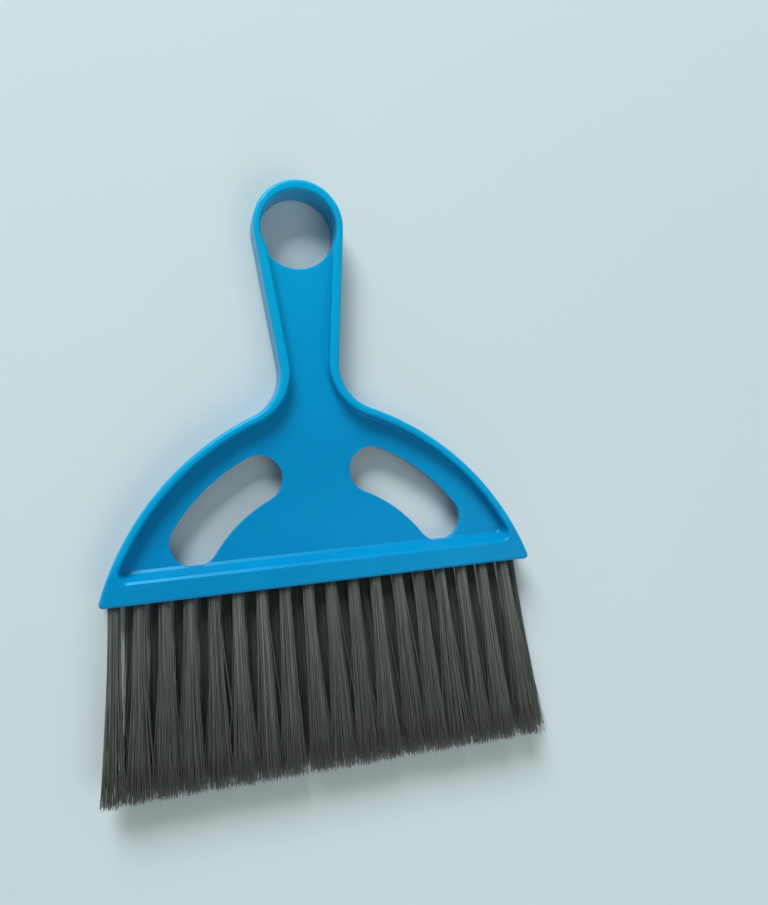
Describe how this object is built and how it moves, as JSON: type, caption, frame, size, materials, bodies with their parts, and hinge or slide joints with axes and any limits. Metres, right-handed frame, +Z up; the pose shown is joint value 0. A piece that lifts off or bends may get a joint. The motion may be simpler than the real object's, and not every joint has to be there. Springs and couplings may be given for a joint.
{
  "type": "hand broom",
  "caption": "Small flat hand broom: a moulded body with a hanging loop, a rimmed arched plate with two arc slots, and a straight bar of long stapled bristle tufts.",
  "frame": {"origin": "below the centre of the whole broom's box, on the surface that it lies on", "axes": "+Z up out of the face, +Y along the handle towards the hanging loop, +X to the right seen from the front; the bristles point to -Y"},
  "size_m": [0.1384, 0.1764, 0.0116],
  "materials": {
    "moulding": "smooth glossy blue injection-moulded polypropylene",
    "bristles": "fine charcoal synthetic filaments with a dull sheen",
    "anchor_wire": "flattened galvanised steel wire"
  },
  "bodies": {
    "root": {"handle_body": "moulding", "tuft_front_01": "bristles", "tuft_front_02": "bristles", "tuft_front_03": "bristles", "tuft_front_04": "bristles", "tuft_front_05": "bristles", "tuft_front_06": "bristles", "tuft_front_07": "bristles", "tuft_front_08": "bristles", "tuft_front_09": "bristles", "tuft_front_10": "bristles", "tuft_front_11": "bristles", "tuft_front_12": "bristles", "tuft_front_13": "bristles", "tuft_front_14": "bristles", "tuft_front_15": "bristles", "tuft_front_16": "bristles", "tuft_front_17": "bristles", "tuft_front_18": "bristles", "tuft_back_01": "bristles", "tuft_back_02": "bristles", "tuft_back_03": "bristles", "tuft_back_04": "bristles", "tuft_back_05": "bristles", "tuft_back_06": "bristles", "tuft_back_07": "bristles", "tuft_back_08": "bristles", "tuft_back_09": "bristles", "tuft_back_10": "bristles", "tuft_back_11": "bristles", "tuft_back_12": "bristles", "tuft_back_13": "bristles", "tuft_back_14": "bristles", "tuft_back_15": "bristles", "tuft_back_16": "bristles", "tuft_back_17": "bristles", "tuft_back_18": "bristles", "tuft_anchors": "anchor_wire"}
  },
  "joints": []
}
